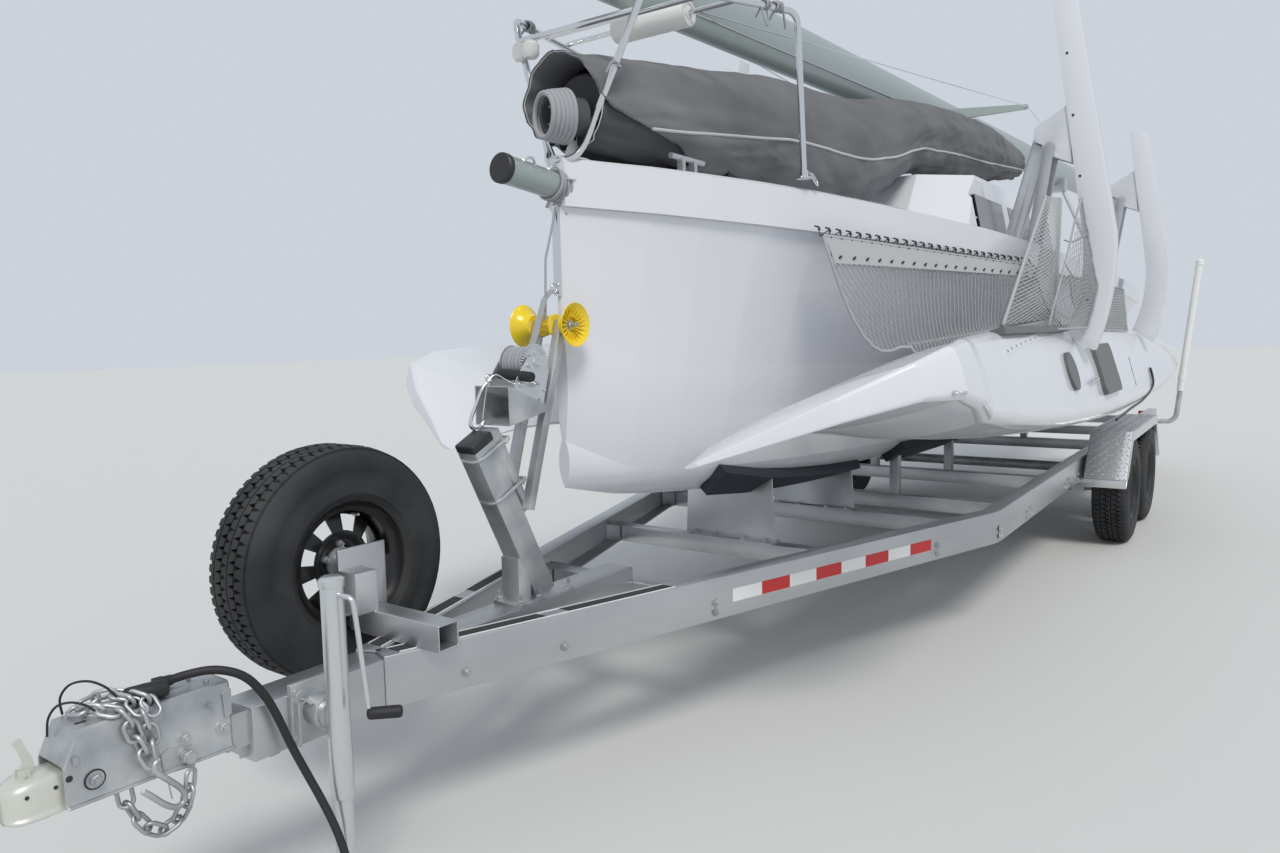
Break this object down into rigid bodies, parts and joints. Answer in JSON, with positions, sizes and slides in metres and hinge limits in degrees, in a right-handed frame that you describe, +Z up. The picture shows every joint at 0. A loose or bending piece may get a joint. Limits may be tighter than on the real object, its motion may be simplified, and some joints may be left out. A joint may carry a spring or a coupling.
{
  "type": "folding sailing trimaran on a road trailer",
  "caption": "Folding trimaran with its floats folded in and mast lowered, standing on a twin axle trailer with jack and winch post.",
  "frame": {"origin": "on the ground under the middle of the overall length, at the centreline", "axes": "+X towards the bow and the coupler, +Y to port, +Z up"},
  "size_m": [12.45, 2.6676, 3.3421],
  "materials": {
    "gelcoat": "polished white gelcoat",
    "smoked": "dark smoked acrylic",
    "mill_aluminium": "mill finish",
    "netting": "grey knotless net",
    "stainless": "polished stainless tube",
    "mast_paint": "grey green paint",
    "white_plastic": "white pipe",
    "cover_cloth": "dark grey acrylic canvas",
    "cord_cloth": "grey braid",
    "black_plastic": "moulded",
    "zinc": "galvanised",
    "rubber": "corrugated sleeve",
    "tyre": "trailer tyre",
    "yellow_roller": "translucent urethane",
    "carpet": "bunk carpet",
    "tread_plate": "raised bar tread plate",
    "lamp_red": "lamp lens"
  },
  "bodies": {
    "root": {"axles": "zinc", "boom_chocks": "black_plastic", "bow_fitting": "stainless", "bow_roller": "yellow_roller", "bunk_brackets": "mill_aluminium", "bunk_pads": "carpet", "cabin_windows": "smoked", "cross_members": "mill_aluminium", "deck_cleats": "mill_aluminium", "deck_moulding": "gelcoat", "fenders": "tread_plate", "guide_feet": "zinc", "guide_pipes": "white_plastic", "jack_bracket": "zinc", "lead_plug": "black_plastic", "main_hull": "gelcoat", "mast": "mast_paint", "mast_crutch": "mill_aluminium", "mast_roller": "white_plastic", "outboard_bracket": "mill_aluminium", "post_cap": "black_plastic", "pulpit": "stainless", "rudder_gudgeons": "stainless", "safety_chains": "zinc", "sail_cover": "cover_cloth", "sail_roll": "cord_cloth", "side_rails": "mill_aluminium", "spare_carrier": "mill_aluminium", "spare_wheel": "tyre", "spreaders": "mast_paint", "sprit_tube": "mill_aluminium", "strut_pins": "stainless", "surge_actuator": "zinc", "tail_lamps": "lamp_red", "washboard": "smoked", "winch": "zinc", "winch_post": "zinc", "wiring_lead": "rubber"},
    "port_lower": {"port_lower_struts": "mill_aluminium"},
    "port_upper": {"port_upper_struts": "mill_aluminium"},
    "port_float_body": {"port_float": "gelcoat", "port_float_fittings": "smoked", "port_beams": "gelcoat", "port_net": "netting"},
    "stbd_lower": {"stbd_lower_struts": "mill_aluminium"},
    "stbd_upper": {"stbd_upper_struts": "mill_aluminium"},
    "stbd_float_body": {"stbd_float": "gelcoat", "stbd_float_fittings": "smoked", "stbd_beams": "gelcoat", "stbd_net": "netting"},
    "wheel_front_port_body": {"wheel_front_port": "tyre"},
    "wheel_front_stbd_body": {"wheel_front_stbd": "tyre"},
    "wheel_rear_port_body": {"wheel_rear_port": "tyre"},
    "wheel_rear_stbd_body": {"wheel_rear_stbd": "tyre"},
    "jack_body": {"jack": "zinc"},
    "rudder_body": {"rudder": "gelcoat"},
    "hatch_body": {"companion_hatch": "smoked"}
  },
  "joints": [
    {"name": "port_fold", "type": "hinge", "parent": "root", "child": "port_lower", "pos_m": [1.425, 0.8415, 1.7203], "axis": [-1, 0, 0], "range_deg": [0, 90]},
    {"name": "port_beam_turn", "type": "hinge", "parent": "port_lower", "child": "port_float_body", "pos_m": [1.425, 0.9473, 2.42], "axis": [1, 0, 0], "range_deg": [0, 162.73]},
    {"name": "port_upper_swing", "type": "hinge", "parent": "root", "child": "port_upper", "pos_m": [1.425, 0.6997, 1.7447], "axis": [-1, 0, 0], "range_deg": [0, 84.07]},
    {"name": "stbd_fold", "type": "hinge", "parent": "root", "child": "stbd_lower", "pos_m": [1.425, -0.8415, 1.7203], "axis": [1, 0, 0], "range_deg": [0, 90]},
    {"name": "stbd_beam_turn", "type": "hinge", "parent": "stbd_lower", "child": "stbd_float_body", "pos_m": [1.425, -0.9473, 2.42], "axis": [-1, 0, 0], "range_deg": [0, 162.73]},
    {"name": "stbd_upper_swing", "type": "hinge", "parent": "root", "child": "stbd_upper", "pos_m": [1.425, -0.6997, 1.7447], "axis": [1, 0, 0], "range_deg": [0, 84.07]},
    {"name": "wheel_front_port_spin", "type": "hinge", "parent": "root", "child": "wheel_front_port_body", "pos_m": [0.025, 1.13, 0.36], "axis": [0, 1, 0], "continuous": true},
    {"name": "wheel_front_stbd_spin", "type": "hinge", "parent": "root", "child": "wheel_front_stbd_body", "pos_m": [0.025, -1.13, 0.36], "axis": [0, 1, 0], "continuous": true},
    {"name": "wheel_rear_port_spin", "type": "hinge", "parent": "root", "child": "wheel_rear_port_body", "pos_m": [-0.835, 1.13, 0.36], "axis": [0, 1, 0], "continuous": true},
    {"name": "wheel_rear_stbd_spin", "type": "hinge", "parent": "root", "child": "wheel_rear_stbd_body", "pos_m": [-0.835, -1.13, 0.36], "axis": [0, 1, 0], "continuous": true},
    {"name": "jack_swivel", "type": "hinge", "parent": "root", "child": "jack_body", "pos_m": [5.55, 0.165, 0.54], "axis": [0, 1, 0], "range_deg": [0, 65]},
    {"name": "rudder_swing", "type": "hinge", "parent": "root", "child": "rudder_body", "pos_m": [-4.28, 0, 1.7], "axis": [0, 0, 1], "range_deg": [-35, 35]},
    {"name": "hatch_slide", "type": "slide", "parent": "root", "child": "hatch_body", "axis": [1, 0, 0], "range_m": [0, 0.5]}
  ],
  "couplings": [
    {"joint": "port_beam_turn", "follows": "port_fold", "ratio": 1.808},
    {"joint": "port_upper_swing", "follows": "port_fold", "ratio": 0.934},
    {"joint": "stbd_beam_turn", "follows": "stbd_fold", "ratio": 1.808},
    {"joint": "stbd_upper_swing", "follows": "stbd_fold", "ratio": 0.934}
  ]
}
